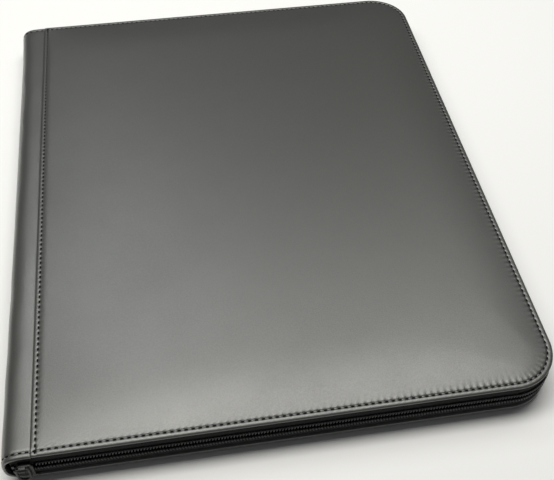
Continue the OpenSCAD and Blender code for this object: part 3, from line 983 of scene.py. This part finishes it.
finish = Finish("pocket_film")
slack, haze = finish.cloud(28 * MM, 2.0), finish.cloud(3 * MM, 4.0)
finish.emboss(slack, 0.5, 1.5 * MM)
finish.fill(finish.shader, {"Roughness": finish.spread(haze, 0.1, 0.26)})
finish.colour(haze, (0.026, 0.027, 0.029, 1), (0.040, 0.041, 0.044, 1))
pocket_film = finish.material

# %% Leaves with their pockets
LEAVES = 20
POCKETS, POCKET_W, POCKET_H, WELD_W = 3, 70 * MM, 96 * MM, 2 * MM
LEAF_CORNER_R, LEAF_CORNER_STEPS = 5 * MM, 5
HALF_SHEET_T = 0.10 * MM
FILM_STEPS = ((0.5 * MM, 0.04 * MM), (7 * MM, 0.05 * MM))


def pocket_lines(start, size):
    """Places of the pockets' edges along one direction, from a start."""
    return [start + i * (size + WELD_W) + edge
            for i in range(POCKETS) for edge in (WELD_W / 2, WELD_W / 2 + size)]


def leaf_sheet(node, name):
    low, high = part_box(node)
    middle = (low.z + high.z) / 2
    block_w, block_h = POCKETS * (POCKET_W + WELD_W), POCKETS * (POCKET_H + WELD_W)
    lines_x = [low.x] + pocket_lines(high.x - LEAF_CORNER_R - block_w, POCKET_W) + [high.x]
    lines_y = [low.y] + pocket_lines(-block_h / 2, POCKET_H) + [high.y]
    bm = bmesh.new()
    cells = len(lines_x) - 1
    half = cells / 2
    grid = bmesh.ops.create_grid(bm, x_segments=cells, y_segments=cells, size=half)["verts"]
    for vert in grid:
        x, y = lines_x[round(vert.co.x + half)], lines_y[round(vert.co.y + half)]
        vert.co = (x, y, HALF_SHEET_T)
    pockets = [f for f in bm.faces if abs(f.calc_area() - POCKET_W * POCKET_H) < TOUCH]
    free = [v for v in bm.verts if v.co.x > high.x - TOUCH and abs(v.co.y) > high.y - TOUCH]
    round_corners(bm, free, LEAF_CORNER_R, LEAF_CORNER_STEPS)
    for thickness, depth in FILM_STEPS:
        bmesh.ops.inset_individual(bm, faces=pockets, thickness=thickness, depth=depth,
                                   use_even_offset=True)
    for face in bm.faces:
        raised = face.calc_center_median().z > HALF_SHEET_T + TOUCH
        face.material_index = 1 if raised else 0
    bmesh.ops.mirror(bm, geom=bm.verts[:] + bm.edges[:] + bm.faces[:], axis="Z", merge_dist=-1)
    bmesh.ops.bridge_loops(bm, edges=[e for e in bm.edges if e.is_boundary])
    bmesh.ops.translate(bm, vec=(0, 0, middle), verts=bm.verts[:])
    piece = make_piece(bm, name, page_sheet, smooth=False)
    piece.data.materials.append(pocket_film)
    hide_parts(node)
    return piece


for k in range(1, LEAVES + 1):
    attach(leaf_sheet(f"leaf_{k:02d}", f"pocket_leaf_{k:02d}"), f"leaf_{k:02d}")

# %% [markdown]
# ## Boards
# The stiff boards inside the covers and the spine stay as the CAD made them. They only need the
# look of grey-brown board: matted fibres of many lengths. The spine's board is wrapped in the
# lining cloth, because its ends show when the binder lies open.

# %% Board
finish = Finish("grey_board")
stretched = finish.add("Mapping", {"Vector": finish.place, "Scale": (1, 0.3, 1)})
fibres = finish.cloud(0.8 * MM, 6.0, Vector=stretched.outputs["Vector"], Distortion=1.0)
finish.colour(fibres, (0.20, 0.16, 0.11, 1), (0.34, 0.28, 0.20, 1))
finish.fill(finish.shader, {"Roughness": finish.spread(fibres, 0.8, 0.95)})
finish.emboss(fibres, 0.3, 0.1 * MM)
grey_board = finish.material
for node in ("front_board", "back_board", "spine_board"):
    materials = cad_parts[node].data.materials
    materials.clear()
    materials.append(lining_cloth if node == "spine_board" else grey_board)
print("boards keep their CAD shape")

# %% [markdown]
# ## Stage, light and camera
# The stage is a plain white floor under an even, weak sky, and its sizes are in metres. Satin
# leather shows its shape by what it reflects, so the light is a wide panel overhead, with two
# weaker ones behind it that the far half of the cover reflects. The lamps are kept at the level
# where the floor stays just below white.

# %% Floor and world
SKY_COLOUR, SKY_STRENGTH = (0.97, 0.98, 1.0, 1), 0.08
FLOOR_R, FLOOR_WHITE, FLOOR_ROUGHNESS = 2.5, (0.95, 0.95, 0.95, 1), 0.9

world = bpy.data.worlds.new("studio")
bpy.context.scene.world = world
world.use_nodes = True
sky = world.node_tree.nodes["Background"]
sky.inputs["Color"].default_value = SKY_COLOUR
sky.inputs["Strength"].default_value = SKY_STRENGTH

floor_bm = bmesh.new()
bmesh.ops.create_circle(floor_bm, cap_ends=True, segments=64, radius=FLOOR_R)
floor_mesh = bpy.data.meshes.new("floor")
floor_bm.to_mesh(floor_mesh)
floor_bm.free()
floor = bpy.data.objects.new("floor", floor_mesh)
bpy.context.scene.collection.objects.link(floor)
floor_paint = bpy.data.materials.new("floor_paint")
floor_paint.use_nodes = True
paint = floor_paint.node_tree.nodes["Principled BSDF"]
paint.inputs["Base Color"].default_value = FLOOR_WHITE
paint.inputs["Roughness"].default_value = FLOOR_ROUGHNESS
floor_mesh.materials.append(floor_paint)

# %% Lights
PANEL_H, PANEL_DEPTH = 1.25, 0.4


def panel(name, x, y, width, power, tint):
    """An area lamp that faces straight down."""
    lamp = bpy.data.lights.new(name, "AREA")
    lamp.shape = "RECTANGLE"
    lamp.size, lamp.size_y = width, PANEL_DEPTH
    lamp.energy = power
    lamp.color = tint
    lit = bpy.data.objects.new(name, lamp)
    bpy.context.scene.collection.objects.link(lit)
    lit.location = (x, y, PANEL_H)


panel("overhead_panel", x=-0.21, y=0.1, width=1.6, power=13.9, tint=(1.0, 0.99, 0.935))
panel("right_panel", x=0.4, y=0.5, width=1.2, power=4.3, tint=(1.0, 0.99, 0.96))
panel("back_panel", x=-0.35, y=0.9, width=0.6, power=3.2, tint=(0.97, 1.0, 1.0))
print("lights set")

# %% [markdown]
# The camera was fitted to the binder's outline in the photograph, and then aimed slightly lower so
# that the zip's pull stays in the picture. It stands close, so the near end of the binder looks
# larger.

# %% Camera
CAMERA_AT = Vector((-41.51, -362.28, 384.53)) * MM
LOOKS_AT = Vector((10.598, -56.19, 22.74)) * MM
CAMERA_ROLL = math.radians(0.74)
FOCAL_PIXELS, PHOTO_WIDTH = 833.96, 554

camera_data = bpy.data.cameras.new("camera")
camera_data.sensor_width = 36
camera_data.lens = FOCAL_PIXELS / PHOTO_WIDTH * camera_data.sensor_width
camera_data.clip_start = 0.01
camera = bpy.data.objects.new("camera", camera_data)
bpy.context.scene.collection.objects.link(camera)
aim = (LOOKS_AT - CAMERA_AT).to_track_quat("-Z", "Y").to_matrix().to_4x4()
roll = Matrix.Rotation(CAMERA_ROLL, 4, "Z")
camera.matrix_world = Matrix.Translation(CAMERA_AT) @ aim @ roll
bpy.context.scene.camera = camera
bpy.context.scene.view_settings.view_transform = "Standard"
print("camera at", [round(c, 4) for c in CAMERA_AT], "lens", round(camera_data.lens, 2))
